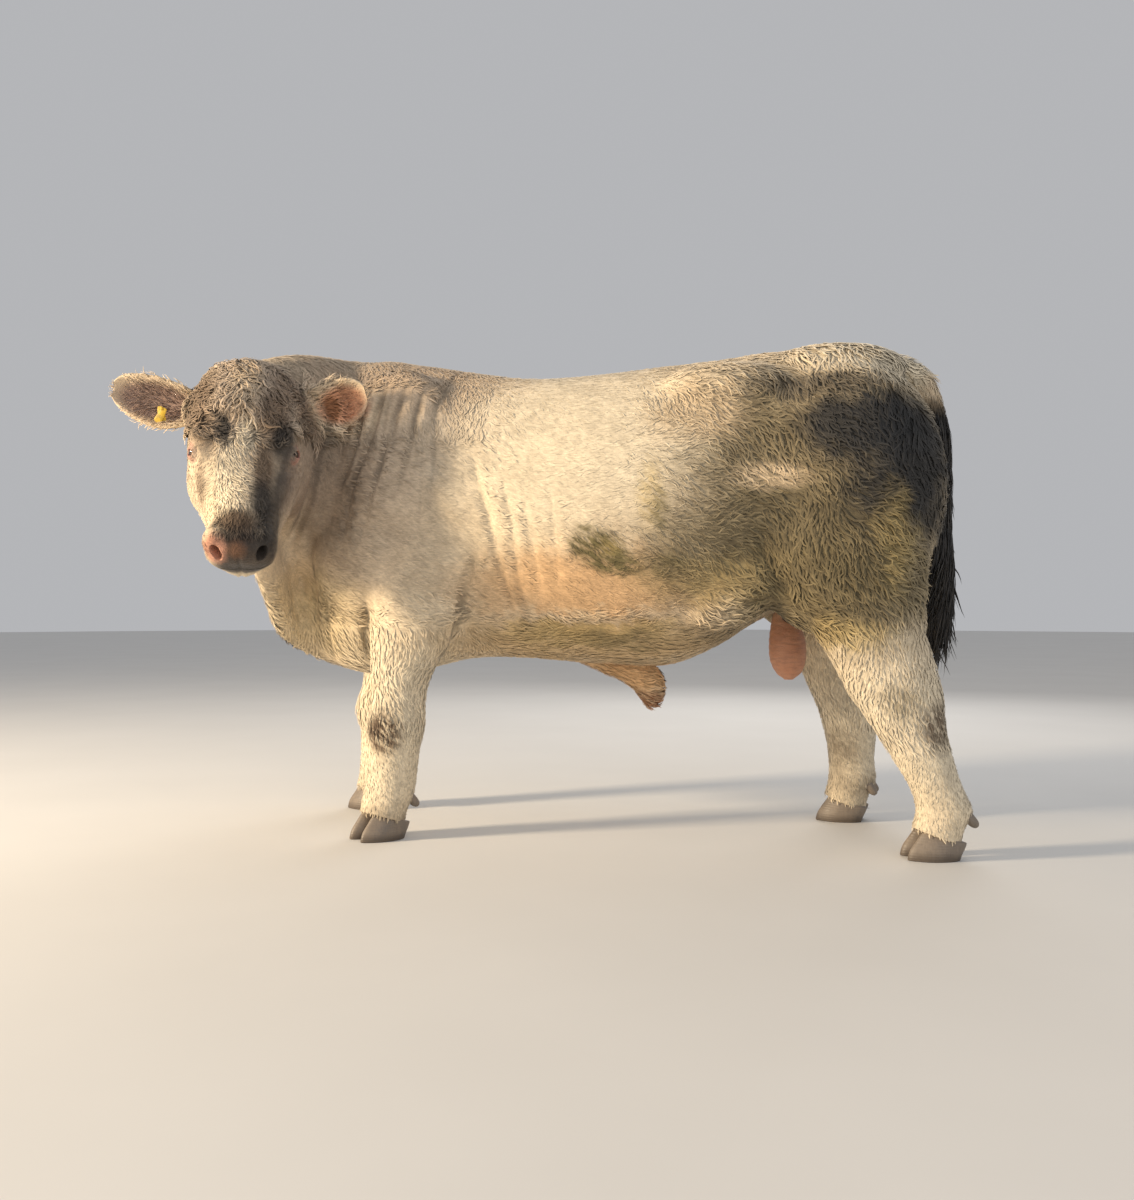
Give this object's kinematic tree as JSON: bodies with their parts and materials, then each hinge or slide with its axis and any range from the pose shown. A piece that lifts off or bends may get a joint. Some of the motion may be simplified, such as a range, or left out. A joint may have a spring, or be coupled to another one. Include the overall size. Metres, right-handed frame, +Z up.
{
  "type": "charolais bull, life-size still model",
  "caption": "Life-size still model of a polled Charolais bull, standing, head turned to its left, cream coat soiled grey-brown behind.",
  "frame": {"origin": "on the floor, under the middle of the model's bounding box", "axes": "-X is the way the body faces, +Z up; the bull's left side, to which its head is turned, is -Y"},
  "size_m": [2.3878, 1.131, 1.4487],
  "materials": {
    "hair_coat": "short cream hair, soiled grey-brown behind",
    "dark_hair": "long dark hair",
    "horn": "hoof horn, matt",
    "eye": "wet and dark",
    "bare_skin": "bare pink-brown skin",
    "tag": "plain yellow"
  },
  "bodies": {
    "root": {"head": "hair_coat", "neck": "hair_coat", "torso": "hair_coat", "leg_fore_left": "hair_coat", "leg_fore_right": "hair_coat", "leg_hind_left": "hair_coat", "leg_hind_right": "hair_coat", "claw_fore_left_inner": "horn", "claw_fore_left_outer": "horn", "claw_fore_right_inner": "horn", "claw_fore_right_outer": "horn", "claw_hind_left_inner": "horn", "claw_hind_left_outer": "horn", "claw_hind_right_inner": "horn", "claw_hind_right_outer": "horn", "ear_left": "hair_coat", "ear_right": "hair_coat", "eye_left": "eye", "eye_right": "eye", "ear_tag": "tag", "tail": "hair_coat", "tail_switch": "dark_hair", "scrotum": "bare_skin", "sheath": "hair_coat"}
  },
  "joints": []
}
